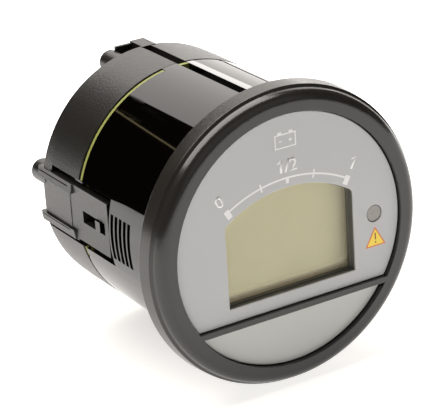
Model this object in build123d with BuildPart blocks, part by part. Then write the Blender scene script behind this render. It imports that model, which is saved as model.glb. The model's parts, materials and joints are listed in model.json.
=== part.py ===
from build123d import *
from math import sqrt
import os

# Panel gauge that shows the charge left in a battery, for a round 52 mm panel hole. Millimetres.
# +Y runs rearwards along the gauge's axis, +X is to the right as the dial is read, and +Z is up.
# The origin is on the axis, in the plane where the bezel meets the panel.

# Bezel and dial
bezel_front = -6.0  # Y of the flat front ring
bezel_edge = -3.9  # Y of the crisp line where the rounding ends
bezel_edge_r = 29.2
bezel_step = -3.4  # Y where the side band starts, behind a narrow step
bezel_step_r = 29.75
bezel_lip = -0.3
bezel_lip_r = 30.05  # the side band widens to here
bezel_rear_r = 29.85
ring_r = 26.9  # outside of the flat front ring
pocket_r = 25.15
bezel_wall_back = -3.9
bezel_bore_r = 27.9
bar_top = -13.5
bar_bottom = -14.7
dial_y = -5.2
dial_r = 25.0
dial_bottom = -13.4

# Display window: straight sides and sill under an arched top
window_x = 0.2  # the window stands a little to the right of the axis
window_half = 14.3
window_sill = -10.5
arch_r = 24.95
arch_z = -14.4
window_corner_r = 1.3
frame_inset = 0.25
lamp_x = 19.4
lamp_r = 1.65

# Mode button, a half-moon under the bar
button_y = -4.86
button_r = 25.3
button_pocket_r = 25.45
button_top = -14.85
button_lip_r = 26.0
button_lip_top = -14.1
button_travel = 0.6
switch_z = -18.6
plunger_r = 1.5
slide_gap = 0.08  # radial clearance of a sliding fit
guide_x = 11.0
guide_z = -17.6
guide_r = 1.2
guide_end = 6.2
button_lip_y = -3.6
button_lip_t = 0.8
stem_r, stem_end = 1.8, 0.5
switch_front = 1.9
plunger_front, plunger_rear = 0.6, 2.5
lip_room_r, lip_room_top, lip_room_depth = 26.4, -13.6, 1.4  # space in the flange for the lip

# Display stack, from the dial towards the board
frame_y = -3.9
lens_y = -3.0
glass_y = -2.5
rear_glass_y = -1.4
reflector_y = -0.3
glass_w = 30.6
glass_h = 23.2
rear_glass_h = 18.8
frame_r = 27.0
frame_bottom = -13.9
frame_wall_w, frame_wall_h = 33.4, 26.0  # wall that holds the glass, behind the frame's disc
frame_wall_depth = 4.6
post_r = 2.2
reflector_rear = 2.1
reflector_half_w, reflector_half_h = 15.2, 9.2
strip_z = 10.7
strip_half_w, strip_half_t = 14.0, 0.8
pipe_collar_r, pipe_collar_t = 2.4, 1.0
pipe_tail_r, pipe_tail_end = 1.5, 2.7

# Housing and rear cap
barrel_r = 25.9
barrel_bore_r = 23.7
flange_r = 27.8
flange_y = -3.0
seam_y = 30.0
seam_gap = 0.45  # open groove between the seal and the cap
seal_t = 0.95  # width of the seal that shows
cap_y = seam_y + seal_t + seam_gap
cap_rear = 46.0
cap_rear_r = 25.8  # the cap narrows from the arm's root to here, as the mould's draft leaves it
cap_bore_r = 22.8
spigot_r = 22.4
spigot_bore_r = 20.9
spigot_front = 26.5
cap_wall = 2.0
lug_rear = 50.7
keyway_left, keyway_right = -1.1, 0.95
keyway_floor = 24.4
keyway_rear = 45.2
skirt_r = 25.85  # thin edge of the housing that laps over the seal
skirt_t = 0.55
skirt_top, skirt_full = -6.6, -10.5  # the lower skirt grows to its full depth between these heights
key_tab_x, key_tab_w = -2.75, 3.3
seal_r = 25.75  # outside of the seal where it shows
seal_body_r = 25.2  # outside of the seal under the skirt
finger_low, finger_high, finger_r = 6.9, 7.4, 24.75  # finger of the cap beside the upper slot

# Serrations at three and nine o'clock, which the clamp ring grips
groove_count = 5
groove_first = 10.35
groove_pitch = 1.6
groove_w = 1.05
groove_floor = 24.9
groove_low, groove_high = -4.5, 4.7

# Snap arms at three and nine o'clock
arm_face = 25.2  # distance of the arm's flat outer face from the axis
arm_back = 23.6
arm_floor = 23.5  # floor of the recess that the arm lies in
arm_wall = 21.9  # inner face of the wall under the recess
arm_low, arm_high = -5.8, 5.9
arm_front_low = -5.35  # the arm's lower edge is cut back here, in front of arm_notch
arm_notch = 32.6
recess_low, recess_high = -6.55, 7.3
recess_y = 18.4
arm_tip = 19.85
arm_step = 34.9  # behind here the arm is a little thicker
arm_step_t = 0.1
arm_root = 42.2
arm_window = (21.3, 30.0)
arm_window_low, arm_window_high = -1.1, 1.4
slot_rear = 45.2
catch_low, catch_high = -0.9, 1.3
catch_front, catch_ramp, catch_rear = 22.6, 24.4, 25.5
catch_top, catch_toe = 25.6, 24.7
rail_y = (33.6, 47.4)
rail_inner, rail_outer = 25.78, 25.4  # outer face, sloped to stay inside the panel hole
rail_root = 24.0
rail_groove_floor = 25.36
rail_groove_y = (35.2, 48.0)
rail_groove_half = 0.12
rail_grooves = (5.1, -4.2)

# Bosses and lugs that stand out behind the cap
boss_r = 2.35
side_boss_x, side_boss_z = 23.1, 3.4
top_boss_x, top_boss_z = -5.6, 22.5
lug_x, lug_z, lug_end = (-0.9, 2.3), (21.5, 25.85), 50.2
lug_bar_x, lug_bar_z, lug_bar_y = (-4.6, -0.8), (23.4, 25.5), 49.5
beyond = 27  # distance from the axis that clears every outside face

# Boards
board_y = 4.0
board_t = 1.6
board_r = 23.2
power_y = 33.5
power_r = 20.5
frame_posts = [(x, z) for x in (-19.1, 19.1) for z in (-8.5, 8.5)]
pillars = [(0, 17.5), (-16.5, -4.0), (16.5, -4.0)]
screw_r = 0.95
screw_hole_r = 1.2
head_r = 1.9
head_h = 1.5
driver_depth = 0.6
driver_half_l, driver_half_w = 1.2, 0.2
ribbon_z = -13.5

# Rear connector, two rows of four pins
shroud_w, shroud_h = 19.6, 12.2
shroud_wall = 1.2
shroud_rear = 50.2
shroud_floor = 38.3
pin_pitch = 4.2
pin_side = 1.0
pin_front, pin_rear = 32.3, 44.5
seal_w, seal_h = 21.0, 13.6


def upright(y):
    """Plane across the axis at y, seen as the dial is read; a negative extrude runs rearwards."""
    return Plane.XZ.offset(-y)


def block(x, y, z, mode=Mode.ADD):
    """Box between two values on each axis, added to or cut from the sub-part being built."""
    with Locations(((x[0] + x[1]) / 2, (y[0] + y[1]) / 2, (z[0] + z[1]) / 2)):
        Box(abs(x[1] - x[0]), abs(y[1] - y[0]), abs(z[1] - z[0]), mode=mode)


def rod(x, z, radius, y, mode=Mode.ADD):
    """Round rod or hole along Y at x, z, between two values of y."""
    with Locations((x, (y[0] + y[1]) / 2, z)):
        Cylinder(radius, y[1] - y[0], rotation=(90, 0, 0), mode=mode)


def sides(near, far, side):
    """Two distances from the axis as an ordered pair of x values on one side."""
    return (near, far) if side > 0 else (-far, -near)


def driver_slot(place, y, upright_slot=False):
    """Screwdriver slot cut across a screw's head at place, between two values of y."""
    x, z = place
    half_x, half_z = driver_half_l, driver_half_w
    if upright_slot:
        half_x, half_z = half_z, half_x
    block((x - half_x, x + half_x), y, (z - half_z, z + half_z), Mode.SUBTRACT)


def window_line(inset):
    """Closed outline of the display window, drawn inwards by inset."""
    half = window_half - inset
    sill = window_sill + inset
    radius = arch_r - inset
    shoulder = arch_z + sqrt(radius**2 - half**2)
    left, right = window_x - half, window_x + half
    Polyline((left, shoulder), (left, sill), (right, sill), (right, shoulder))
    ThreePointArc((right, shoulder), (window_x, arch_z + radius), (left, shoulder))


def skirt_ring():
    """Section of the housing's thin rear edge, across the axis."""
    Circle(skirt_r)
    Circle(skirt_r - skirt_t, mode=Mode.SUBTRACT)


def seal_ring():
    """Section of the seal where it shows, across the axis."""
    Circle(seal_r)
    Circle(seal_body_r - 0.05, mode=Mode.SUBTRACT)


def skirt_slope():
    """Closed outline of the region behind the lower skirt's sloping edge, seen from the side."""
    Polyline(
        (seam_y, skirt_top),
        (seam_y + seal_t, skirt_full),
        (cap_y + 0.5, skirt_full),
        (cap_y + 0.5, skirt_top + 0.5),
        (seam_y, skirt_top + 0.5),
        close=True,
    )


def finish(part, label):
    """Label a sub-part and write it to its own file."""
    part.label = label
    export_step(part, f"parts/{label}.step")


os.makedirs("parts", exist_ok=True)

# ---------------------------------------------------------------- front

with BuildPart() as bezel:
    with BuildSketch(Plane.XY):
        with BuildLine():
            Polyline((pocket_r + 0.15, bezel_front), (ring_r, bezel_front))
            TangentArc((ring_r, bezel_front), (bezel_edge_r, bezel_edge), tangent=(1, 0))
            Polyline(
                (bezel_edge_r, bezel_edge),
                (bezel_step_r, bezel_step),
                (bezel_lip_r, bezel_lip),
                (bezel_rear_r, 0),
                (bezel_bore_r, 0),
                (bezel_bore_r, bezel_wall_back),
                (pocket_r, bezel_wall_back),
                (pocket_r, bezel_front + 0.15),
                (pocket_r + 0.15, bezel_front),
            )
        make_face()
    revolve(axis=Axis.Y)
    with BuildSketch(upright(bezel_front)):
        Circle(ring_r)
        with Locations((0, (bar_top + bar_bottom) / 2)):
            Rectangle(2 * ring_r, bar_top - bar_bottom, mode=Mode.INTERSECT)
    extrude(amount=bezel_front - bezel_wall_back)
    with BuildSketch(upright(bezel_front)):
        Circle(button_pocket_r)
        with Locations((0, bar_bottom)):
            Rectangle(
                2 * ring_r, 2 * ring_r, align=(Align.CENTER, Align.MAX), mode=Mode.INTERSECT
            )
    extrude(amount=bezel_front - bezel_wall_back, mode=Mode.SUBTRACT)
finish(bezel.part, "bezel")

with BuildPart() as faceplate:
    with BuildSketch(upright(dial_y)):
        Circle(dial_r)
        with Locations((0, dial_bottom)):
            Rectangle(
                2 * dial_r, 2 * dial_r, align=(Align.CENTER, Align.MIN), mode=Mode.INTERSECT
            )
        with BuildSketch(mode=Mode.SUBTRACT):
            with BuildLine():
                window_line(0)
            make_face()
            fillet(vertices().sort_by(Axis.Y)[-2:], window_corner_r)
        with Locations((lamp_x, 0)):
            Circle(lamp_r + 0.08, mode=Mode.SUBTRACT)
    extrude(amount=dial_y - frame_y)
    chamfer(faces().sort_by(Axis.Y)[0].edges(), 0.1)
finish(faceplate.part, "faceplate")

with BuildPart() as display_frame:
    with BuildSketch(upright(frame_y)):
        Circle(frame_r)
        with Locations((0, frame_bottom)):
            Rectangle(60, 60, align=(Align.CENTER, Align.MIN), mode=Mode.INTERSECT)
        with BuildSketch(mode=Mode.SUBTRACT):
            with BuildLine():
                window_line(frame_inset)
            make_face()
            fillet(vertices().sort_by(Axis.Y)[-2:], window_corner_r)
        with Locations((lamp_x, 0)):
            Circle(lamp_r + 0.08, mode=Mode.SUBTRACT)
    extrude(amount=frame_y - lens_y)
    with BuildSketch(upright(lens_y)):
        Rectangle(frame_wall_w, frame_wall_h)
        Rectangle(glass_w + 0.2, glass_h + 0.2, mode=Mode.SUBTRACT)
    extrude(amount=-frame_wall_depth)
    for x, z in frame_posts:
        rod(x, z, post_r, (lens_y, board_y))
        rod(x, z, screw_r, (board_y - 5.0, board_y), mode=Mode.SUBTRACT)
finish(display_frame.part, "display_frame")

with BuildPart() as window_lens:
    with BuildSketch(upright(lens_y)):
        RectangleRounded(glass_w, glass_h, 0.6)
    extrude(amount=lens_y - glass_y)
finish(window_lens.part, "window_lens")

with BuildPart() as lcd_cell:
    block((-glass_w / 2, glass_w / 2), (glass_y, rear_glass_y), (-glass_h / 2, glass_h / 2))
    block(
        (-glass_w / 2, glass_w / 2), (rear_glass_y, reflector_y), (-rear_glass_h / 2, rear_glass_h / 2)
    )
finish(lcd_cell.part, "lcd_cell")

with BuildPart() as lcd_reflector:
    block(
        (-reflector_half_w, reflector_half_w),
        (reflector_y, reflector_rear),
        (-reflector_half_h, reflector_half_h),
    )
    chamfer(edges().filter_by(Axis.Y), 0.5)
finish(lcd_reflector.part, "lcd_reflector")

with BuildPart() as zebra_strips:
    for z in (-strip_z, strip_z):
        block(
            (-strip_half_w, strip_half_w),
            (rear_glass_y, board_y),
            (z - strip_half_t, z + strip_half_t),
        )
finish(zebra_strips.part, "zebra_strips")

with BuildPart() as light_pipe:
    rod(lamp_x, 0, lamp_r, (dial_y + 0.15, lens_y))
    rod(lamp_x, 0, pipe_collar_r, (lens_y, lens_y + pipe_collar_t))
    rod(lamp_x, 0, pipe_tail_r, (lens_y + pipe_collar_t, pipe_tail_end))
    chamfer(faces().sort_by(Axis.Y)[0].edges(), 0.12)
finish(light_pipe.part, "light_pipe")

with BuildPart() as indicator_led:
    block((lamp_x - 1.3, lamp_x + 1.3), (3.2, board_y), (-1.2, 1.2))
    rod(lamp_x, 0, 0.9, (2.9, 3.3))
finish(indicator_led.part, "indicator_led")

# ---------------------------------------------------------------- mode button and its switch

with BuildPart() as mode_button:
    with BuildSketch(upright(button_y)):
        Circle(button_r)
        with Locations((0, button_top)):
            Rectangle(60, 60, align=(Align.CENTER, Align.MAX), mode=Mode.INTERSECT)
        fillet(vertices(), 0.5)
    extrude(amount=button_y - button_lip_y)
    fillet(faces().sort_by(Axis.Y)[0].edges(), 0.2)
    with BuildSketch(upright(button_lip_y)):
        Circle(button_lip_r)
        with Locations((0, button_lip_top)):
            Rectangle(60, 60, align=(Align.CENTER, Align.MAX), mode=Mode.INTERSECT)
    extrude(amount=-button_lip_t)
    rod(0, switch_z, stem_r, (-2.9, stem_end))
    for x in (-guide_x, guide_x):
        rod(x, guide_z, guide_r, (-2.9, guide_end))
finish(mode_button.part, "mode_button")

with BuildPart() as tact_switch:
    block((-3.0, 3.0), (switch_front, board_y), (switch_z - 3.0, switch_z + 3.0))
    chamfer(edges().filter_by(Axis.Y), 0.3)
    rod(0, switch_z, plunger_r + slide_gap, (switch_front, 3.3), mode=Mode.SUBTRACT)
finish(tact_switch.part, "tact_switch")

with BuildPart() as switch_plunger:
    rod(0, switch_z, plunger_r, (plunger_front, plunger_rear))
    chamfer(faces().sort_by(Axis.Y)[0].edges(), 0.2)
finish(switch_plunger.part, "switch_plunger")

# ---------------------------------------------------------------- display board

board_back = board_y + board_t
with BuildPart() as main_board:
    rod(0, 0, board_r, (board_y, board_back))
    for x, z in frame_posts + pillars:
        rod(x, z, screw_hole_r, (board_y, board_back), mode=Mode.SUBTRACT)
    for x in (-guide_x, guide_x):
        rod(x, guide_z, guide_r + slide_gap, (board_y, board_back), mode=Mode.SUBTRACT)
finish(main_board.part, "main_board")

with BuildPart() as processor_chip:
    block((-5.0, 5.0), (board_back + 0.3, board_back + 1.7), (-3.0, 7.0))
    chamfer(edges(), 0.25)
    lead_pitch = 0.8
    for step in range(-5, 6):
        offset = step * lead_pitch
        block((-6.2, 6.2), (board_back, board_back + 0.5), (1.8 + offset, 2.2 + offset))
        block((offset - 0.2, offset + 0.2), (board_back, board_back + 0.5), (-4.2, 8.2))
finish(processor_chip.part, "processor_chip")

with BuildPart() as driver_chip:
    block((-14.0, -9.0), (board_back + 0.2, board_back + 1.5), (4.0, 12.0))
    for step in range(6):
        low = 4.7 + 1.25 * step
        block((-15.0, -8.0), (board_back, board_back + 0.5), (low, low + 0.4))
finish(driver_chip.part, "driver_chip")

with BuildPart() as crystal:
    with BuildSketch(upright(board_back)):
        with Locations((11.5, 6.0)):
            SlotOverall(10.5, 4.4)
    extrude(amount=-3.4)
    fillet(faces().sort_by(Axis.Y)[-1].edges(), 0.4)
finish(crystal.part, "crystal")

with BuildPart() as chip_passives:
    for column in range(5):
        for row in range(2):
            x = 7.5 + 2.4 * column - 2.4 * row
            z = 12.0 - 21.0 * row
            block((x - 0.65, x + 0.65), (board_back, board_back + 0.7), (z - 1.0, z + 1.0))
finish(chip_passives.part, "chip_passives")

with BuildPart() as frame_screws:
    for x, z in frame_posts:
        rod(x, z, screw_r, (board_y - 4.5, board_back))
        rod(x, z, head_r, (board_back, board_back + head_h))
        driver_slot((x, z), (board_back + head_h - driver_depth, board_back + head_h))
        driver_slot((x, z), (board_back + head_h - driver_depth, board_back + head_h), upright_slot=True)
finish(frame_screws.part, "frame_screws")

# ---------------------------------------------------------------- power board

with BuildPart() as board_pillars:
    with BuildSketch(upright(board_back)):
        with Locations(*pillars):
            RegularPolygon(2.2, 6, major_radius=False)
    extrude(amount=board_back - power_y)
    for x, z in pillars:
        rod(x, z, screw_r, (board_back, board_back + 6), mode=Mode.SUBTRACT)
        rod(x, z, screw_r, (power_y - 6, power_y), mode=Mode.SUBTRACT)
finish(board_pillars.part, "board_pillars")

power_back = power_y + board_t
with BuildPart() as pillar_screws:
    for x, z in pillars:
        rod(x, z, head_r, (board_y - head_h, board_y))
        rod(x, z, screw_r, (board_y, board_back + 5))
        rod(x, z, screw_r, (power_y - 5, power_back))
        rod(x, z, head_r, (power_back, power_back + head_h))
        driver_slot((x, z), (power_back + head_h - driver_depth, power_back + head_h))
        driver_slot((x, z), (board_y - head_h, board_y - head_h + driver_depth))
finish(pillar_screws.part, "pillar_screws")

pin_places = [(x * pin_pitch, z * pin_pitch) for x in (-1.5, -0.5, 0.5, 1.5) for z in (-0.5, 0.5)]
with BuildPart() as power_board:
    rod(0, 0, power_r, (power_y, power_back))
    for x, z in pillars:
        rod(x, z, screw_hole_r, (power_y, power_back), mode=Mode.SUBTRACT)
    with BuildSketch(upright(power_y)):
        with Locations(*pin_places):
            Rectangle(pin_side, pin_side)
    extrude(amount=-board_t, mode=Mode.SUBTRACT)
finish(power_board.part, "power_board")

with BuildPart() as smoothing_capacitors:
    for x in (-10.0, 10.0):
        rod(x, 10.5, 4.0, (power_y - 12.0, power_y))
    fillet(edges().sort_by(Axis.Y)[:2], 0.5)
finish(smoothing_capacitors.part, "smoothing_capacitors")

with BuildPart() as power_inductor:
    rod(-10.5, -9.5, 4.6, (power_y - 1.2, power_y))
    rod(-10.5, -9.5, 3.6, (power_y - 6.0, power_y - 1.2))
    rod(-10.5, -9.5, 4.6, (power_y - 7.2, power_y - 6.0))
finish(power_inductor.part, "power_inductor")

with BuildPart() as voltage_regulator:
    block((7.8, 14.4), (power_y - 2.3, power_y), (-11.5, -5.4))
    for x in (8.4, 10.8, 13.2):
        block((x, x + 0.8), (power_y - 0.6, power_y), (-14.0, -11.5))
    block((8.4, 13.8), (power_y - 0.5, power_y), (-5.4, -4.4))
finish(voltage_regulator.part, "voltage_regulator")

with BuildPart() as surge_suppressor:
    block((-3.4, 3.4), (power_y - 2.3, power_y - 0.2), (7.0, 11.6))
    chamfer(edges(), 0.2)
    for x in (-3.8, 2.2):
        block((x, x + 1.6), (power_y - 0.7, power_y), (8.2, 10.4))
finish(surge_suppressor.part, "surge_suppressor")

with BuildPart() as ribbon_sockets:
    for y in ((board_back, board_back + 3.0), (power_y - 3.0, power_y)):
        block((-5.5, 5.5), y, (ribbon_z - 2.0, ribbon_z + 2.0))
    block((-5.1, 5.1), (board_back + 1.0, power_y - 1.0), (ribbon_z - 0.2, ribbon_z + 0.2), Mode.SUBTRACT)
finish(ribbon_sockets.part, "ribbon_sockets")

with BuildPart() as ribbon_cable:
    block((-5.0, 5.0), (board_back + 1.0, power_y - 1.0), (ribbon_z - 0.15, ribbon_z + 0.15))
finish(ribbon_cable.part, "ribbon_cable")

# ---------------------------------------------------------------- housing

with BuildPart() as front_housing:
    with BuildSketch(Plane.XY):
        with BuildLine():
            Polyline(
                (barrel_bore_r, flange_y),
                (flange_r, flange_y),
                (flange_r, 0),
                (barrel_r, 0),
                (barrel_r, seam_y),
                (barrel_bore_r, seam_y),
                (barrel_bore_r, flange_y),
            )
        make_face()
    revolve(axis=Axis.Y)
    # Skirt that hides the seal: all round the lower half, and to the right of the keyway
    with BuildSketch(upright(seam_y)):
        skirt_ring()
        with Locations((0, skirt_top)):
            Rectangle(60, 60, align=(Align.CENTER, Align.MAX), mode=Mode.INTERSECT)
    extrude(amount=-seal_t)
    with BuildSketch(Plane.YZ):
        with BuildLine():
            skirt_slope()
        make_face()
    extrude(amount=beyond, both=True, mode=Mode.SUBTRACT)
    with BuildSketch(upright(seam_y)):
        skirt_ring()
        with Locations((keyway_right, finger_high + 0.05)):
            Rectangle(60, 60, align=(Align.MIN, Align.MIN), mode=Mode.INTERSECT)
    extrude(amount=-seal_t)
    # Key tab that meets the cap to the left of the keyway
    with BuildSketch(upright(seam_y)):
        skirt_ring()
        with Locations((key_tab_x, barrel_r)):
            Rectangle(key_tab_w, 10, mode=Mode.INTERSECT)
    extrude(amount=seam_y - cap_y)
    block((keyway_left, keyway_right), (-0.01, cap_y), (keyway_floor, beyond), Mode.SUBTRACT)
    for side in (-1, 1):
        with BuildSketch(upright(recess_y - 1.4)):
            Circle(barrel_bore_r + 0.2)
            with Locations((side * arm_wall, 0)):
                Rectangle(
                    10,
                    60,
                    align=(Align.MIN if side > 0 else Align.MAX, Align.CENTER),
                    mode=Mode.INTERSECT,
                )
        extrude(amount=recess_y - 1.4 - seam_y)
        block(
            sides(arm_floor, beyond, side),
            (recess_y, cap_y),
            (recess_low, recess_high),
            Mode.SUBTRACT,
        )
        for groove in range(groove_count):
            start = groove_first + groove_pitch * groove
            block(
                sides(groove_floor, beyond, side),
                (start, start + groove_w),
                (groove_low, groove_high),
                Mode.SUBTRACT,
            )
        # Catch with a ramp on its rear side
        with BuildSketch(Plane.XY.offset(catch_low)):
            with BuildLine():
                Polyline(
                    (side * (arm_floor - 0.1), catch_rear),
                    (side * catch_toe, catch_rear),
                    (side * catch_top, catch_ramp),
                    (side * catch_top, catch_front),
                    (side * (arm_floor - 0.1), catch_front),
                    close=True,
                )
            make_face()
        extrude(amount=catch_high - catch_low)
    # Room for the button's lip
    with BuildSketch(upright(flange_y)):
        Circle(lip_room_r)
        with Locations((0, lip_room_top)):
            Rectangle(60, 60, align=(Align.CENTER, Align.MAX), mode=Mode.INTERSECT)
    extrude(amount=-lip_room_depth, mode=Mode.SUBTRACT)
finish(front_housing.part, "front_housing")

with BuildPart() as sealing_gasket:
    # Wedges that show under the snap arms, where the skirt slopes
    with BuildSketch(Plane.YZ):
        with BuildLine():
            skirt_slope()
        make_face()
    extrude(amount=beyond, both=True)
    with BuildSketch(upright(seam_y)):
        seal_ring()
        with Locations((0, recess_low - 0.05)):
            Rectangle(60, 60, align=(Align.CENTER, Align.MAX), mode=Mode.INTERSECT)
    extrude(amount=-seal_t, mode=Mode.INTERSECT)
    # Body of the seal, clamped between the housing and the cap
    with BuildSketch(upright(seam_y)):
        Circle(seal_body_r)
        Circle(spigot_r + 0.1, mode=Mode.SUBTRACT)
        with Locations((0, (recess_low + recess_high) / 2)):
            Rectangle(2 * arm_floor - 0.1, 80, mode=Mode.INTERSECT)
    extrude(amount=seam_y - cap_y)
    # Band that shows over the top left, broken by the key tab
    with BuildSketch(upright(seam_y)):
        seal_ring()
        with Locations((keyway_right, finger_high + 0.05)):
            Rectangle(60, 60, align=(Align.MAX, Align.MIN), mode=Mode.INTERSECT)
        with Locations((key_tab_x, barrel_r)):
            Rectangle(key_tab_w + 0.2, 10, mode=Mode.SUBTRACT)
    extrude(amount=-seal_t)
finish(sealing_gasket.part, "sealing_gasket")

# ---------------------------------------------------------------- rear cap

with BuildPart() as rear_cap:
    with BuildSketch(Plane.XY):
        with BuildLine():
            Polyline(
                (spigot_bore_r, spigot_front),
                (spigot_r - 0.4, spigot_front),
                (spigot_r, spigot_front + 0.4),
                (spigot_r, cap_y),
                (barrel_r - 0.1, cap_y),
                (barrel_r, cap_y + 0.1),
                (barrel_r, arm_root),
                (cap_rear_r, cap_rear - 0.4),
                (cap_rear_r - 0.4, cap_rear),
                (0, cap_rear),
                (0, cap_rear - cap_wall),
                (cap_bore_r, cap_rear - cap_wall),
                (cap_bore_r, cap_y + 1.5),
                (spigot_bore_r, cap_y + 1.5),
                (spigot_bore_r, spigot_front),
            )
        make_face()
    revolve(axis=Axis.Y)
    for side in (-1, 1):
        # Wall under the snap arm, the slots beside it, the arm and its window
        with BuildSketch(upright(cap_y)):
            Circle(cap_bore_r + 0.2)
            with Locations((side * arm_wall, 0)):
                Rectangle(
                    10,
                    60,
                    align=(Align.MIN if side > 0 else Align.MAX, Align.CENTER),
                    mode=Mode.INTERSECT,
                )
        extrude(amount=cap_y - cap_rear + 1)
        block(sides(arm_wall - 0.2, beyond, side), (26, cap_y), (-beyond, beyond), Mode.SUBTRACT)
        for rear, span in (
            (arm_root, (arm_low, recess_high)),
            (slot_rear, (recess_low, arm_low)),
        ):
            block(sides(arm_floor, beyond, side), (cap_y - 1, rear), span, Mode.SUBTRACT)
        block(sides(arm_floor, finger_r, side), (seam_y + 0.1, cap_y + 1.5), (finger_low, finger_high))
        thick_face = arm_face + arm_step_t
        block(
            sides(thick_face, beyond, side), (arm_root, cap_rear), (arm_low, arm_high), Mode.SUBTRACT
        )
        block(sides(arm_back, arm_face, side), (arm_tip, arm_notch), (arm_front_low, arm_high))
        block(sides(arm_back, arm_face, side), (arm_notch, arm_step), (arm_low, arm_high))
        block(sides(arm_back, thick_face, side), (arm_step, arm_root), (arm_low, arm_high))
        block(
            sides(arm_back - 0.6, beyond, side),
            arm_window,
            (arm_window_low, arm_window_high),
            Mode.SUBTRACT,
        )
        # Rails along the rear of the arm, their outer faces sloped with the round of the hole
        for near, far in ((3.9, arm_high), (-3.8, arm_low)):
            with BuildSketch(upright(rail_y[0])):
                with BuildLine():
                    Polyline(
                        (side * rail_root, near),
                        (side * rail_inner, near),
                        (side * rail_outer, far),
                        (side * rail_root, far),
                        close=True,
                    )
                make_face()
            extrude(amount=rail_y[0] - rail_y[1])
        for z in rail_grooves:
            block(
                sides(rail_groove_floor, beyond, side),
                rail_groove_y,
                (z - rail_groove_half, z + rail_groove_half),
                Mode.SUBTRACT,
            )
        # Round boss behind the rim
        rod(side * side_boss_x, side_boss_z, boss_r, (cap_rear - 1, lug_rear))
    # Keyway along the top and the lugs behind it
    block((keyway_left, keyway_right), (cap_y - 1, keyway_rear), (keyway_floor, beyond), Mode.SUBTRACT)
    rod(top_boss_x, top_boss_z, boss_r, (cap_rear - 1, lug_rear))
    block(lug_x, (cap_rear - 1, lug_end), lug_z)
    block(lug_bar_x, (lug_bar_y, lug_end), lug_bar_z)
    # Opening for the connector
    block((-seal_w / 2, seal_w / 2), (cap_rear - 3, cap_rear + 1), (-seal_h / 2, seal_h / 2), Mode.SUBTRACT)
finish(rear_cap.part, "rear_cap")

# ---------------------------------------------------------------- connector

with BuildPart() as connector_shroud:
    block((-shroud_w / 2, shroud_w / 2), (power_back, shroud_rear), (-shroud_h / 2, shroud_h / 2))
    block(
        (-shroud_w / 2 + shroud_wall, shroud_w / 2 - shroud_wall),
        (shroud_floor, shroud_rear),
        (-shroud_h / 2 + shroud_wall, shroud_h / 2 - shroud_wall),
        Mode.SUBTRACT,
    )
    with BuildSketch(upright(power_back)):
        with Locations(*pin_places):
            Rectangle(pin_side, pin_side)
    extrude(amount=power_back - shroud_floor, mode=Mode.SUBTRACT)
    # Latch ramp on top
    block((-2.0, 2.0), (46.6, 48.4), (shroud_h / 2, shroud_h / 2 + 1.0))
finish(connector_shroud.part, "connector_shroud")

with BuildPart() as connector_pins:
    with BuildSketch(upright(pin_front)):
        with Locations(*pin_places):
            Rectangle(pin_side, pin_side)
    extrude(amount=pin_front - pin_rear)
    chamfer(faces().group_by(Axis.Y)[-1].edges(), 0.2)
finish(connector_pins.part, "connector_pins")

with BuildPart() as connector_seal:
    with BuildSketch(upright(cap_rear - 2.4)):
        Rectangle(seal_w, seal_h)
        Rectangle(shroud_w, shroud_h, mode=Mode.SUBTRACT)
    extrude(amount=-2.6)
finish(connector_seal.part, "connector_seal")
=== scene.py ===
import json
import math

import bpy
from mathutils import Matrix, Vector

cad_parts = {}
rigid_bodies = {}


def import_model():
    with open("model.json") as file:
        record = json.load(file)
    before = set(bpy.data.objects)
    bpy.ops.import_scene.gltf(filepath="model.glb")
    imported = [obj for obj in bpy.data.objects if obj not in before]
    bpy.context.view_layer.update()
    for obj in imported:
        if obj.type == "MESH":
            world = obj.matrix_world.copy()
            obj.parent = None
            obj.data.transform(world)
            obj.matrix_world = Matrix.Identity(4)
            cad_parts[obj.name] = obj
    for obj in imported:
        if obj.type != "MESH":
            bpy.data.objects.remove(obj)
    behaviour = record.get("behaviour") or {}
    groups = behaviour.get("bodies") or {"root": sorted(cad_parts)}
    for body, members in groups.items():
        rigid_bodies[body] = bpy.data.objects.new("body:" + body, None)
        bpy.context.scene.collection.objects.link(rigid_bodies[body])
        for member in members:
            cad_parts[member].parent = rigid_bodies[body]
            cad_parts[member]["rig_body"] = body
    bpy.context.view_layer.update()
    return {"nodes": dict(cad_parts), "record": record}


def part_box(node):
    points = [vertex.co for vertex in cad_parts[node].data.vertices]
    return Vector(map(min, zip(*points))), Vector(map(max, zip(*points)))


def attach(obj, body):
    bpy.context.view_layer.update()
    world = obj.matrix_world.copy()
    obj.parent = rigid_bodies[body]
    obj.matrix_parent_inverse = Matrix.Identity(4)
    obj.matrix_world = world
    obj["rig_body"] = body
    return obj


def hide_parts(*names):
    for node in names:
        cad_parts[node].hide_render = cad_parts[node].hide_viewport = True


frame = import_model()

mm = 0.001
nodes = frame["nodes"]
slotOf = {row["node"]: row["material_slot"] for row in frame["record"]["subparts"]}


# small helpers for selecting and for going in and out of edit mode

def deselectAll():
    if bpy.context.object and bpy.context.object.mode != "OBJECT":
        bpy.ops.object.mode_set(mode="OBJECT")
    bpy.ops.object.select_all(action="DESELECT")


def activate(piece):
    deselectAll()
    piece.select_set(True)
    bpy.context.view_layer.objects.active = piece
    return piece


def applyPlace(piece):
    activate(piece)
    bpy.ops.object.transform_apply(location=True, rotation=True, scale=True)
    return piece


def addModifier(piece, kind, **settings):
    activate(piece)
    modifier = piece.modifiers.new(kind.lower(), kind)
    for name, value in settings.items():
        setattr(modifier, name, value)
    bpy.ops.object.modifier_apply(modifier=modifier.name)


def joinAll(parts, name):
    activate(parts[0])
    for part in parts:
        part.select_set(True)
    bpy.context.view_layer.objects.active = parts[0]
    if len(parts) > 1:
        bpy.ops.object.join()
    joined = bpy.context.object
    joined.name = name
    joined.data.name = name
    return joined


# shader maths: a Wire is one socket, and sums on it add Math nodes

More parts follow.
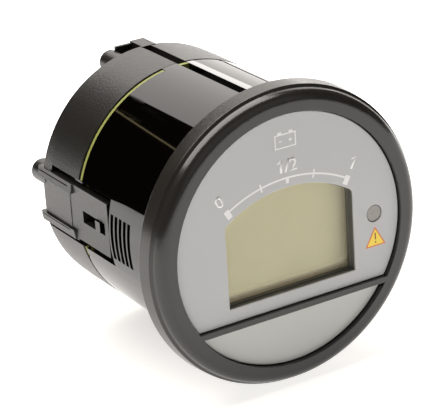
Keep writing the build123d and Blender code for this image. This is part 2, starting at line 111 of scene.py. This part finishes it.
class Wire:
    def __init__(self, finish, socket):
        self.finish = finish
        self.socket = socket

    def maths(self, operation, first, second):
        return self.finish.node("ShaderNodeMath", {"operation": operation}, {0: first, 1: second})

    def __add__(self, other):
        return self.maths("ADD", self, other)

    def __radd__(self, other):
        return self.maths("ADD", other, self)

    def __sub__(self, other):
        return self.maths("SUBTRACT", self, other)

    def __rsub__(self, other):
        return self.maths("SUBTRACT", other, self)

    def __mul__(self, other):
        return self.maths("MULTIPLY", self, other)

    def __rmul__(self, other):
        return self.maths("MULTIPLY", other, self)

    def __gt__(self, other):
        return self.maths("GREATER_THAN", self, other)


class Finish:
    def __init__(self, name):
        self.material = bpy.data.materials.new(name)
        self.material.use_nodes = True
        self.tree = self.material.node_tree
        self.tree.nodes.clear()
        self.place = self.node("ShaderNodeTexCoord", out="Object")

    def node(self, kind, settings=None, sockets=None, out=0):
        made = self.tree.nodes.new(kind)
        for name, value in (settings or {}).items():
            if name == "stops":
                self.setStops(made.color_ramp, value)
            else:
                setattr(made, name, value)
        for name, value in (sockets or {}).items():
            if isinstance(value, Wire):
                self.tree.links.new(value.socket, made.inputs[name])
            else:
                made.inputs[name].default_value = value
        return Wire(self, made.outputs[out])

    def setStops(self, ramp, stops):
        while len(ramp.elements) < len(stops):
            ramp.elements.new(0.5)
        for element, (position, value) in zip(ramp.elements, stops):
            element.position = position
            element.color = (value, value, value, 1)

    def noise(self, size, detail=3, roughness=0.55):
        sockets = {"Vector": self.place, "Scale": 1 / size, "Detail": detail, "Roughness": roughness}
        return self.node("ShaderNodeTexNoise", None, sockets, "Fac")

    def cells(self, size):
        sockets = {"Vector": self.place, "Scale": 1 / size}
        return self.node("ShaderNodeTexVoronoi", None, sockets, "Distance")

    def ramp(self, factor, stops):
        return self.node("ShaderNodeValToRGB", {"stops": stops}, {"Fac": factor})

    def axes(self):
        return [
            self.node("ShaderNodeSeparateXYZ", None, {"Vector": self.place}, axis)
            for axis in "XYZ"
        ]

    def blend(self, factor, first, second):
        sockets = {0: factor, 6: first, 7: second}
        return self.node("ShaderNodeMix", {"data_type": "RGBA"}, sockets, 2)

    def bump(self, height, depth):
        return self.node("ShaderNodeBump", None, {"Height": height, "Distance": depth})

    def surface(self, **sockets):
        named = {name.replace("_", " "): value for name, value in sockets.items()}
        shader = self.node("ShaderNodeBsdfPrincipled", None, named)
        return self.output(shader)

    def output(self, shader):
        end = self.tree.nodes.new("ShaderNodeOutputMaterial")
        self.tree.links.new(shader.socket, end.inputs["Surface"])
        return self.material


def colour(red, green, blue):
    return (red, green, blue, 1)


# finishes

def mouldedPlastic(name, base, shine, grain, depth, spread=0.35):
    # spark-eroded moulding: fine rounded grains, with a soft cloud in its colour and roughness that
    # follows the fine grain
    finish = Finish(name)
    pits = finish.cells(grain * mm)
    fine = finish.noise(grain * 0.6 * mm)
    cloud = finish.noise(6 * mm)
    height = pits * 0.6 + fine * 0.7
    tint = finish.ramp(cloud, [(0.3, 1 - spread), (0.7, 1)])
    shade = finish.blend(tint, colour(*[part * (1 - spread) for part in base]), colour(*base))
    return finish.surface(
        Base_Color=shade,
        Roughness=shine + (fine - 0.5) * 0.12,
        Normal=finish.bump(height, depth * mm),
    )


def glossPlastic(name, base, shine):
    # polished moulding: faint flow ripples and hairline rubs
    finish = Finish(name)
    ripple = finish.noise(9 * mm, 1)
    rubs = finish.node(
        "ShaderNodeTexNoise",
        None,
        {
            "Vector": finish.node(
                "ShaderNodeMapping", None, {"Vector": finish.place, "Scale": (900, 60, 900)}
            ),
            "Scale": 1.0,
            "Detail": 2.0,
        },
        "Fac",
    )
    return finish.surface(
        Base_Color=finish.blend(ripple, colour(*base), colour(*[part * 0.7 for part in base])),
        Roughness=shine + (rubs > 0.66) * 0.06,
        Normal=finish.bump(ripple + rubs * 0.02, 0.006 * mm),
    )


def printedFilm(name, base, shine, core=None, coreDepth=0):
    # satin printed film with a fine matt tooth, on a plate that may be darker behind its face
    finish = Finish(name)
    tooth = finish.noise(0.12 * mm, 2)
    cloud = finish.noise(14 * mm, 2)
    shade = finish.blend(cloud, colour(*[part * 0.96 for part in base]), colour(*base))
    if core:
        shade = finish.blend(finish.axes()[1] > coreDepth, shade, colour(*core))
    return finish.surface(
        Base_Color=shade,
        Roughness=shine + (tooth - 0.5) * 0.1,
        Normal=finish.bump(tooth, 0.004 * mm),
    )


def softRubber(name, base, layers=0):
    finish = Finish(name)
    bloom = finish.noise(0.5 * mm)
    shade = finish.blend(bloom, colour(*[part * 0.8 for part in base]), colour(*base))
    if layers:
        along = finish.axes()[0]
        stripe = finish.node("ShaderNodeMath", {"operation": "SINE"}, {0: along * layers})
        shade = finish.blend(stripe > 0.2, shade, colour(0.02, 0.02, 0.02))
    return finish.surface(
        Base_Color=shade, Roughness=0.5 + bloom * 0.2, Normal=finish.bump(bloom, 0.01 * mm)
    )


def workedMetal(name, base, shine, pitch):
    # turned or drawn metal, with fine lines along its length
    finish = Finish(name)
    lines = finish.node(
        "ShaderNodeTexNoise",
        None,
        {
            "Vector": finish.node(
                "ShaderNodeMapping", None, {"Vector": finish.place, "Scale": (200, 1 / (pitch * mm), 200)}
            ),
            "Scale": 1.0,
        },
        "Fac",
    )
    tarnish = finish.noise(1.5 * mm)
    shade = finish.blend(tarnish, colour(*[part * 0.75 for part in base]), colour(*base))
    return finish.surface(
        Base_Color=shade,
        Metallic=1.0,
        Roughness=shine + lines * 0.15,
        Normal=finish.bump(lines, 0.004 * mm),
    )


def circuitBoard(name, base):
    # solder mask over copper runs, with the runs a little paler and raised
    finish = Finish(name)
    x, _, z = finish.axes()
    wander = finish.noise(3 * mm, 1)
    weave = finish.node("ShaderNodeMath", {"operation": "SINE"}, {0: x * 2600 + wander * 9})
    across = finish.node("ShaderNodeMath", {"operation": "SINE"}, {0: z * 1900 + wander * 7})
    runs = (weave > 0.72) + (across > 0.86)
    shade = finish.blend(runs, colour(*base), colour(*[part * 1.7 for part in base]))
    return finish.surface(
        Base_Color=shade, Roughness=0.28 + wander * 0.1, Normal=finish.bump(runs, 0.02 * mm)
    )


# pale and deep: the display's own khaki; rim: colour of the painted shade at the right edge and sill;
# glow: strength of the painted glow; edge and sill: where that painted shade runs, in mm
display = {
    "pale": (0.73, 0.69, 0.50),
    "deep": (0.70, 0.655, 0.46),
    "rim": (0.62, 0.58, 0.47),
    "glow": 0.18,
    "edge": (10.2, 14.6),
    "sill": (-10.4, -8.0),
}


def displayGlass(name):
    # reflective display: pale khaki with a painted glow, and painted shade, as cast by the recess walls,
    # darkening it towards its right edge and its sill
    finish = Finish(name)
    x, _, z = finish.axes()
    cloud = finish.noise(9 * mm, 2)
    grain = finish.noise(0.4 * mm, 1)
    near, far = [place * mm for place in display["edge"]]
    low, high = [place * mm for place in display["sill"]]
    # painted shade from the recess walls, falling off towards the right edge and towards the sill
    side = finish.ramp((x - near) * (1 / (far - near)), [(0, 1), (0.5, 0.75), (1, 0.28)])
    sillShade = finish.ramp((z - low) * (1 / (high - low)), [(0, 0.85), (1, 1)])
    shade = finish.blend(cloud, colour(*display["deep"]), colour(*display["pale"]))
    wallShadedColour = finish.blend(side * sillShade, colour(*display["rim"]), shade)
    # painted glow that brightens the display, fading where the painted shade falls
    glow = finish.blend(side * sillShade, colour(0, 0, 0), shade)
    return finish.surface(
        Base_Color=wallShadedColour,
        Roughness=0.42 + grain * 0.1,
        Emission_Color=glow,
        Emission_Strength=display["glow"],
        Normal=finish.bump(grain, 0.001 * mm),
    )


def clearLens(name):
    # thin clear sheet: mostly see-through, with a hard gloss
    finish = Finish(name)
    smear = finish.noise(5 * mm, 2)
    gloss = finish.node(
        "ShaderNodeBsdfGlossy", None, {"Color": colour(1, 1, 1), "Roughness": 0.05}
    )
    clear = finish.node("ShaderNodeBsdfTransparent", None, {"Color": colour(0.97, 0.97, 0.95)})
    share = finish.node("ShaderNodeFresnel", None, {"IOR": 1.4}) * 0.5
    return finish.output(
        finish.node("ShaderNodeMixShader", None, {0: share + smear * 0.004, 1: clear, 2: gloss})
    )


def lampPlastic(name):
    finish = Finish(name)
    haze = finish.noise(0.9 * mm)
    shade = finish.blend(haze, colour(0.25, 0.24, 0.22), colour(0.30, 0.285, 0.265))
    return finish.surface(
        Base_Color=shade, Roughness=0.22 + haze * 0.08, Normal=finish.bump(haze, 0.01 * mm)
    )


def printInk(name, base):
    finish = Finish(name)
    tooth = finish.noise(0.15 * mm)
    shade = finish.blend(tooth, colour(*[part * 0.94 for part in base]), colour(*base))
    return finish.surface(Base_Color=shade, Roughness=0.5, Normal=finish.bump(tooth, 0.003 * mm))


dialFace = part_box("faceplate")[0].y
dialCore = dialFace + 0.3 * mm
finishes = {
    "bezel_black": mouldedPlastic("bezel_satin", (0.020, 0.0185, 0.016), 0.2, 0.3, 0.013),
    "dial_grey": printedFilm("dial_film", (0.47, 0.475, 0.48), 0.5, (0.13, 0.125, 0.11), dialCore),
    "frame_dark": mouldedPlastic("frame_olive", (0.13, 0.125, 0.11), 0.5, 0.2, 0.006),
    "window_clear": clearLens("lens_clear"),
    "display_glass": displayGlass("display_khaki"),
    "reflector_white": mouldedPlastic("reflector", (0.8, 0.8, 0.78), 0.5, 0.3, 0.005, 0.05),
    "elastomer": softRubber("strip_rubber", (0.7, 0.35, 0.4), 60000),
    "pipe_clear": lampPlastic("lamp_window"),
    "button_grey": printedFilm("button_satin", (0.51, 0.52, 0.50), 0.45),
    "component_black": mouldedPlastic("epoxy", (0.02, 0.02, 0.02), 0.5, 0.15, 0.008),
    "board_green": circuitBoard("solder_mask", (0.01, 0.11, 0.035)),
    "can_metal": workedMetal("drawn_can", (0.7, 0.7, 0.71), 0.25, 0.05),
    "component_tan": mouldedPlastic("ceramic", (0.33, 0.23, 0.14), 0.5, 0.1, 0.004, 0.15),
    "screw_steel": workedMetal("zinc_plate", (0.62, 0.62, 0.63), 0.3, 0.08),
    "pillar_brass": workedMetal("turned_brass", (0.74, 0.55, 0.25), 0.25, 0.08),
    "socket_white": mouldedPlastic("nylon", (0.72, 0.7, 0.62), 0.45, 0.2, 0.004, 0.08),
    "ribbon_grey": softRubber("flat_cable", (0.6, 0.6, 0.6), 6200),
    "barrel_gloss_black": glossPlastic("polished_black", (0.0010, 0.0008, 0.0006), 0.035),
    "seal_lime": softRubber("seal_silicone", (0.24, 0.255, 0.055)),
    "cap_black": mouldedPlastic("cap_texture", (0.011, 0.010, 0.0085), 0.33, 0.42, 0.045),
    "connector_black": mouldedPlastic("connector_nylon", (0.012, 0.012, 0.012), 0.4, 0.2, 0.006),
    "pin_tin": workedMetal("tin_plate", (0.78, 0.77, 0.74), 0.25, 0.06),
}
for nodeName, node in nodes.items():
    node.material_slots[0].material = finishes[slotOf[nodeName]]
print("finishes done")


# mouldings with rounded edges, made from merged copies of the CAD meshes

def refine(nodeName, pieceName, edge, segments=2, sharp=28):
    source = nodes[nodeName]
    piece = bpy.data.objects.new(pieceName, source.data.copy())
    bpy.context.scene.collection.objects.link(piece)
    activate(piece)
    if piece.data.has_custom_normals:
        bpy.ops.mesh.customdata_custom_splitnormals_clear()
    bpy.ops.object.mode_set(mode="EDIT")
    bpy.ops.mesh.select_all(action="SELECT")
    bpy.ops.mesh.remove_doubles(threshold=0.002 * mm)
    bpy.ops.mesh.dissolve_limited(angle_limit=math.radians(0.4))
    bpy.ops.object.mode_set(mode="OBJECT")
    addModifier(
        piece,
        "BEVEL",
        width=edge * mm,
        segments=segments,
        limit_method="ANGLE",
        angle_limit=math.radians(sharp),
        miter_outer="MITER_ARC",
        use_clamp_overlap=True,
    )
    bpy.ops.object.shade_smooth_by_angle(angle=math.radians(sharp + 10))
    addModifier(piece, "WEIGHTED_NORMAL", weight=80, keep_sharp=True)
    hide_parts(nodeName)
    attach(piece, source["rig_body"])
    return piece


mouldings = {
    "bezel": ("bezelMoulding", 0.10),
    "faceplate": ("dialPlate", 0.06),
    "front_housing": ("barrelMoulding", 0.08),
    "rear_cap": ("capMoulding", 0.10),
    "mode_button": ("buttonMoulding", 0.06),
    "connector_shroud": ("connectorMoulding", 0.12),
}
for nodeName, (pieceName, edge) in mouldings.items():
    refine(nodeName, pieceName, edge)
print("mouldings done")


# printing on the dial, drawn on its face in X and Z

ink = {
    "thick": 0.02,
    "white": (0.80, 0.80, 0.79),
    "yellow": (0.90, 0.68, 0.07),
    "orange": (0.72, 0.18, 0.05),
    "dark": (0.30, 0.11, 0.012),
}
inkWhite = printInk("ink_white", ink["white"])
inkYellow = printInk("ink_yellow", ink["yellow"])
inkOrange = printInk("ink_orange", ink["orange"])
inkDark = printInk("ink_dark", ink["dark"])
facing = (math.radians(90), 0, 0)  # turns the XY plane to face the reader


def setInk(piece, material, layer=0):
    # gives a flat shape its thickness, sets it on the dial and lets it ride
    applyPlace(piece)
    thick = ink["thick"] * mm
    addModifier(piece, "SOLIDIFY", thickness=thick, offset=1.0)
    activate(piece)
    bpy.ops.object.mode_set(mode="EDIT")
    bpy.ops.mesh.select_all(action="SELECT")
    bpy.ops.mesh.normals_make_consistent(inside=False)
    bpy.ops.object.mode_set(mode="OBJECT")
    low = min(corner.co.y for corner in piece.data.vertices)
    lift = dialFace - thick * (1 + layer) - low
    piece.data.transform(Matrix.Translation((0, lift, 0)))
    piece.data.materials.clear()
    piece.data.materials.append(material)
    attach(piece, "housing")
    return piece


def patch(x, z, width, height, turn=0):
    # flat rectangle on the dial, turned clockwise as it is read
    deselectAll()
    bpy.ops.mesh.primitive_plane_add(
        size=1, location=(x * mm, 0, z * mm), rotation=(facing[0], math.radians(turn), 0)
    )
    piece = bpy.context.object
    piece.scale = (width * mm, height * mm, 1)
    return applyPlace(piece)


scale = {
    "centreZ": -14.4,
    "radius": 26.85,
    "halfAngle": 30.0,
    "line": 0.36,
    "blockW": 1.15,
    "blockH": 1.9,
    "tickAngle": 12.65,
    "tickW": 0.34,
    "tickH": 1.7,
    "midW": 0.7,
    "midH": 1.0,
    "midDrop": 0.6,
    "blockDrop": 0.35,
    "steps": 72,
}


def scaleArc():
    # one edge across the line's start, spun round the scale's centre
    half = math.radians(scale["halfAngle"])
    start = Vector((-math.sin(half), 0, math.cos(half)))
    centre = Vector((0, 0, scale["centreZ"])) * mm
    deselectAll()
    bpy.ops.mesh.primitive_plane_add(size=1, location=(0, 0, 0), rotation=facing)
    piece = applyPlace(bpy.context.object)
    bpy.ops.object.mode_set(mode="EDIT")
    bpy.ops.mesh.select_mode(type="VERT")
    bpy.ops.mesh.select_all(action="SELECT")
    bpy.ops.mesh.delete(type="ONLY_FACE")
    bpy.ops.object.mode_set(mode="OBJECT")
    for number, vertex in enumerate(piece.data.vertices):
        reach = scale["radius"] + (0.5 if number % 2 else -0.5) * scale["line"]
        vertex.co = centre + start * reach * mm
    bpy.ops.object.mode_set(mode="EDIT")
    bpy.ops.mesh.select_all(action="SELECT")
    bpy.ops.mesh.remove_doubles(threshold=0.001 * mm)
    bpy.ops.mesh.select_all(action="SELECT")
    bpy.ops.mesh.spin(steps=scale["steps"], angle=2 * half, center=centre, axis=(0, -1, 0))
    bpy.ops.mesh.select_all(action="SELECT")
    bpy.ops.mesh.flip_normals()
    bpy.ops.object.mode_set(mode="OBJECT")
    piece.name = "scaleLine"
    return piece


def across(angle, reach, width, height):
    # patch that lies across the scale's line at an angle from its middle
    turn = math.radians(angle)
    x = math.sin(turn) * reach
    z = scale["centreZ"] + math.cos(turn) * reach
    return patch(x, z, width, height, angle)


midReach = scale["radius"] - scale["midDrop"]
blockReach = scale["radius"] - scale["blockDrop"]
blocks = [across(0, midReach, scale["midW"], scale["midH"])]
for side in (-1, 1):
    blocks.append(across(side * scale["halfAngle"], blockReach, scale["blockW"], scale["blockH"]))
    blocks.append(across(side * scale["tickAngle"], scale["radius"], scale["tickW"], scale["tickH"]))
setInk(scaleArc(), inkWhite)
setInk(joinAll(blocks, "scaleMarks"), inkWhite, 1)

# text, x, z, size and turn of each figure on the scale
figures = {
    "figureEmpty": ("0", -14.95, 11.35, 3.3, -27),
    "figureHalf": ("1/2", 0.1, 14.75, 3.5, 0),
    "figureFull": ("1", 14.9, 11.5, 3.5, 27),
}
figureBold = 0.07
flag = {"out": 0.12, "down": 0.38, "slope": 38, "length": 0.95, "width": 0.34}


def makeFigure(name, body, x, z, size, turn):
    # flat text turned to face the reader, with a flag laid on a leading one
    deselectAll()
    bpy.ops.object.text_add(location=(0, 0, 0))
    figure = bpy.context.object
    figure.data.body = body
    figure.data.size = size * mm
    figure.data.align_x = "CENTER"
    figure.data.align_y = "CENTER"
    figure.data.offset = figureBold * mm
    activate(figure)
    bpy.ops.object.convert(target="MESH")
    figure = bpy.context.object
    figure.name = name
    if body.startswith("1"):
        along = min(corner.co.x for corner in figure.data.vertices) / mm - flag["out"]
        above = max(corner.co.y for corner in figure.data.vertices) / mm - flag["down"]
        lean = math.radians(turn)
        stroke = patch(
            x + along * math.cos(lean) + above * math.sin(lean),
            z - along * math.sin(lean) + above * math.cos(lean),
            flag["length"],
            flag["width"],
            turn - flag["slope"],
        )
        stroke.name = name + "Flag"
        setInk(stroke, inkWhite, 1)
    figure.location = (x * mm, 0, z * mm)
    figure.rotation_euler = (facing[0], math.radians(turn), 0)
    setInk(figure, inkWhite)


for name, row in figures.items():
    makeFigure(name, *row)

battery = {
    "x": 0.0,
    "low": 18.55,
    "high": 21.15,
    "half": 2.24,
    "line": 0.26,
    "stroke": 0.22,
    "terminal": 1.1,
    "postX": 1.25,
    "postLift": 0.34,
    "postW": 0.9,
    "postH": 0.4,
}


def batterySign():
    x, line = battery["x"], battery["line"]
    low, high, half = battery["low"], battery["high"], battery["half"]
    middle = (low + high) / 2
    stroke, reach = battery["stroke"], battery["terminal"]
    bars = [
        patch(x, low, 2 * half + line, line),
        patch(x, high, 2 * half + line, line),
        patch(x - half, middle, line, high - low - line),
        patch(x + half, middle, line, high - low - line),
        patch(x - reach, middle, 3 * stroke, stroke),
        patch(x + reach, middle, 3 * stroke, stroke),
        patch(x + reach, middle + stroke, stroke, stroke),
        patch(x + reach, middle - stroke, stroke, stroke),
    ]
    for side in (-1, 1):
        post = patch(
            x + side * battery["postX"],
            high + battery["postLift"],
            battery["postW"],
            battery["postH"],
        )
        bars.append(post)
    return joinAll(bars, "batterySign")


setInk(batterySign(), inkWhite)

warning = {
    "x": 19.4,
    "low": -6.83,
    "high": -2.76,
    "half": 2.37,
    "rim": 0.26,
    "flank": 1.75,  # how far the sides draw in, for each unit that the foot does
    "barZ": -4.75,
    "barW": 0.3,
    "barH": 1.4,
    "dotZ": -5.95,
    "dot": 0.34,
}


def triangle(shrink, name):
    # three-sided disc pulled to the sign's width and height
    deselectAll()
    bpy.ops.mesh.primitive_circle_add(vertices=3, radius=1, fill_type="NGON", rotation=facing)
    piece = applyPlace(bpy.context.object)
    low, high = warning["low"] + shrink, warning["high"] - 2 * shrink
    half = warning["half"] - warning["flank"] * shrink
    corners = sorted(piece.data.vertices, key=lambda corner: (-corner.co.z, corner.co.x))
    for corner, (x, z) in zip(corners, [(0, high), (-half, low), (half, low)]):
        corner.co = Vector((warning["x"] + x, 0, z)) * mm
    piece.name = name
    return piece


setInk(triangle(0, "warningRim"), inkOrange)
setInk(triangle(warning["rim"], "warningField"), inkYellow, 1)
markBars = [
    patch(warning["x"], warning["barZ"], warning["barW"], warning["barH"]),
    patch(warning["x"], warning["dotZ"], warning["dot"], warning["dot"]),
]
setInk(joinAll(markBars, "warningMark"), inkDark, 2)
print("printing done")


# studio

def softbox(name, centre, aim, width, height, radiance, tint):
    light = bpy.data.lights.new(name, "AREA")
    light.shape = "RECTANGLE"
    light.size = width
    light.size_y = height
    light.energy = radiance * math.pi * width * height
    light.color = tint
    holder = bpy.data.objects.new(name, light)
    bpy.context.scene.collection.objects.link(holder)
    holder.location = centre
    holder.rotation_euler = (Vector(aim) - Vector(centre)).to_track_quat("-Z", "Y").to_euler()
    holder.visible_camera = False
    return holder


studio = {
    "floorReach": 0.72,
    "floorGlow": 1.3,
    "floorTint": (1.0, 0.98, 0.945),
    "floorAlbedo": 0.45,
    "shadeY": 0.045,
    "shadeReach": 0.09,
    "dim": 0.004,
}
deselectAll()
bpy.ops.mesh.primitive_circle_add(
    vertices=96,
    radius=studio["floorReach"],
    fill_type="NGON",
    location=(0, 0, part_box("bezel")[0].z),
)
floor = applyPlace(bpy.context.object)
floor.name = "studioFloor"


def floorFinish():
    # white sweep that glows, a little less under the barrel, which shades it
    finish = Finish("floor_white")
    x, y, _ = finish.axes()
    ahead = y - studio["shadeY"]
    away = (x * x + ahead * ahead) * (1 / studio["shadeReach"] ** 2)
    tint = studio["floorTint"]
    shaded = colour(*[part * 0.5 for part in tint])
    glow = finish.blend(finish.ramp(away, [(0.0, 0), (1.0, 1)]), shaded, colour(*tint))
    return finish.surface(
        Base_Color=colour(*[studio["floorAlbedo"]] * 3),
        Roughness=0.9,
        Emission_Color=glow,
        Emission_Strength=studio["floorGlow"],
    )


floor.data.materials.append(floorFinish())

# centre, aim, width, height, radiance and tint of each softbox
warm = (1.0, 0.955, 0.915)
softboxes = {
    "softboxBack": ((0.33, 0.62, 0.42), (0, 0, 0), 0.82, 0.5, 2.3, warm),
    "softboxSide": ((0.78, 0.72, 0.16), (0, 0, 0.06), 0.7, 0.36, 1.9, warm),
    "softboxTop": ((-0.15, 0.2, 0.6), (-0.15, 0.2, 0), 0.84, 0.54, 6.5, warm),
    "softboxFront": ((0.1, -0.9, 0.5), (0, 0, 0), 1.4, 0.8, 0.33, warm),
    "stripBack": ((-0.333, 0.796, 0.505), (0, 0, 0), 0.3, 0.008, 1.2, (1.0, 0.82, 0.45)),
}
for name, row in softboxes.items():
    softbox(name, *row)

world = bpy.data.worlds.new("studioWorld")
bpy.context.scene.world = world
world.use_nodes = True
background = world.node_tree.nodes["Background"]
path = world.node_tree.nodes.new("ShaderNodeLightPath")
shade = world.node_tree.nodes.new("ShaderNodeMix")
shade.data_type = "RGBA"
shade.inputs[6].default_value = colour(*[studio["dim"]] * 3)
shade.inputs[7].default_value = colour(1, 1, 1)
world.node_tree.links.new(path.outputs["Is Camera Ray"], shade.inputs[0])
world.node_tree.links.new(shade.outputs[2], background.inputs["Color"])

view = {
    "azimuth": -30.613,
    "elevation": 22.269,
    "roll": -3.728,
    "distance": 416.08,
    "across": -12.865,
    "up": 6.135,
    "ahead": -5.2,
    "focal": 179.37,
}


def placeCamera():
    azimuth, elevation, roll = [math.radians(view[key]) for key in ("azimuth", "elevation", "roll")]
    back = Vector(
        (
            math.sin(azimuth) * math.cos(elevation),
            -math.cos(azimuth) * math.cos(elevation),
            math.sin(elevation),
        )
    )
    level = Vector((math.cos(azimuth), math.sin(azimuth), 0))
    upright = back.cross(level)
    right = level * math.cos(roll) + upright * math.sin(roll)
    up = upright * math.cos(roll) - level * math.sin(roll)
    camera = bpy.data.objects.new("camera", bpy.data.cameras.new("camera"))
    bpy.context.scene.collection.objects.link(camera)
    camera.data.sensor_width = 36
    camera.data.lens = view["focal"]
    camera.data.clip_start = 0.01
    camera.data.clip_end = 20
    spot = back * view["distance"] + right * view["across"] + up * view["up"]
    spot.y += view["ahead"]
    turned = Matrix((right, up, back)).transposed().to_4x4()
    camera.matrix_world = Matrix.Translation(spot * mm) @ turned
    bpy.context.scene.camera = camera


placeCamera()
bpy.context.scene.view_settings.view_transform = "Standard"
print("studio done")
